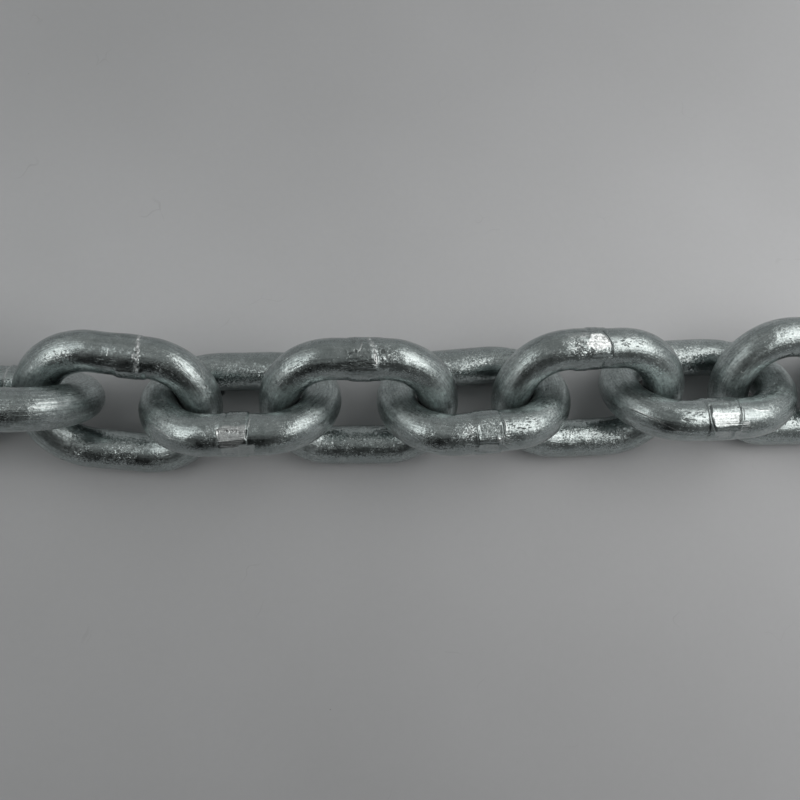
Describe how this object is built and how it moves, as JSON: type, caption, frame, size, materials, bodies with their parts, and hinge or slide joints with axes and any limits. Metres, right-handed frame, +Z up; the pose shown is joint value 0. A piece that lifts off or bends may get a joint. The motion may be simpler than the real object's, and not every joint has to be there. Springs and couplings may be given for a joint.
{
  "type": "anchor chain",
  "caption": "Length of galvanised short-link anchor chain laid out straight: interlocked oval links of round bar, each welded on one side and leaning the opposite way to its neighbours.",
  "frame": {"origin": "middle of the chain's footprint on the ground", "axes": "+X along the chain from the first link to the last, +Y across it, +Z up; the low bar of every link lies on z = 0"},
  "size_m": [0.31, 0.0378, 0.0347],
  "materials": {
    "galvanised_steel": "hot-dip galvanised: dull grey zinc with bright speckled patches, fine drawing lines along the bar and dark pits at the welds"
  },
  "bodies": {
    "link_01": {"link_01": "galvanised_steel"},
    "link_02": {"link_02": "galvanised_steel"},
    "link_03": {"link_03": "galvanised_steel"},
    "link_04": {"link_04": "galvanised_steel"},
    "link_05": {"link_05": "galvanised_steel"},
    "link_06": {"link_06": "galvanised_steel"},
    "link_07": {"link_07": "galvanised_steel"},
    "link_08": {"link_08": "galvanised_steel"},
    "link_09": {"link_09": "galvanised_steel"},
    "link_10": {"link_10": "galvanised_steel"}
  },
  "joints": [
    {"name": "link_02_swing", "type": "hinge", "parent": "link_01", "child": "link_02", "pos_m": [-0.11012, 0.00128, 0.01621], "axis": [0.079, 0.9029, 0.4226], "range_deg": [-90, 90]},
    {"name": "link_03_swing", "type": "hinge", "parent": "link_02", "child": "link_03", "pos_m": [-0.08201, -0.00119, 0.01569], "axis": [0.0093, -0.6652, 0.7466], "range_deg": [-90, 90]},
    {"name": "link_04_swing", "type": "hinge", "parent": "link_03", "child": "link_04", "pos_m": [-0.05349, -0.00252, 0.01412], "axis": [-0.0057, -0.6494, -0.7604], "range_deg": [-90, 90]},
    {"name": "link_05_swing", "type": "hinge", "parent": "link_04", "child": "link_05", "pos_m": [-0.02422, -0.00371, 0.01496], "axis": [0.0203, 0.7769, -0.6293], "range_deg": [-90, 90]},
    {"name": "link_06_swing", "type": "hinge", "parent": "link_05", "child": "link_06", "pos_m": [0.00497, -0.00468, 0.01518], "axis": [-0.0075, 0.6156, 0.788], "range_deg": [-90, 90]},
    {"name": "link_07_swing", "type": "hinge", "parent": "link_06", "child": "link_07", "pos_m": [0.03401, -0.00326, 0.01417], "axis": [0.0089, -0.7265, 0.6871], "range_deg": [-90, 90]},
    {"name": "link_08_swing", "type": "hinge", "parent": "link_07", "child": "link_08", "pos_m": [0.06323, -0.00284, 0.01471], "axis": [0.0376, -0.6323, -0.7738], "range_deg": [-90, 90]},
    {"name": "link_09_swing", "type": "hinge", "parent": "link_08", "child": "link_09", "pos_m": [0.09237, -0.00108, 0.01442], "axis": [0.0085, 0.6959, -0.7181], "range_deg": [-90, 90]},
    {"name": "link_10_swing", "type": "hinge", "parent": "link_09", "child": "link_10", "pos_m": [0.12096, -0.00134, 0.01448], "axis": [0, 0.7071, 0.7071], "range_deg": [-90, 90]}
  ]
}
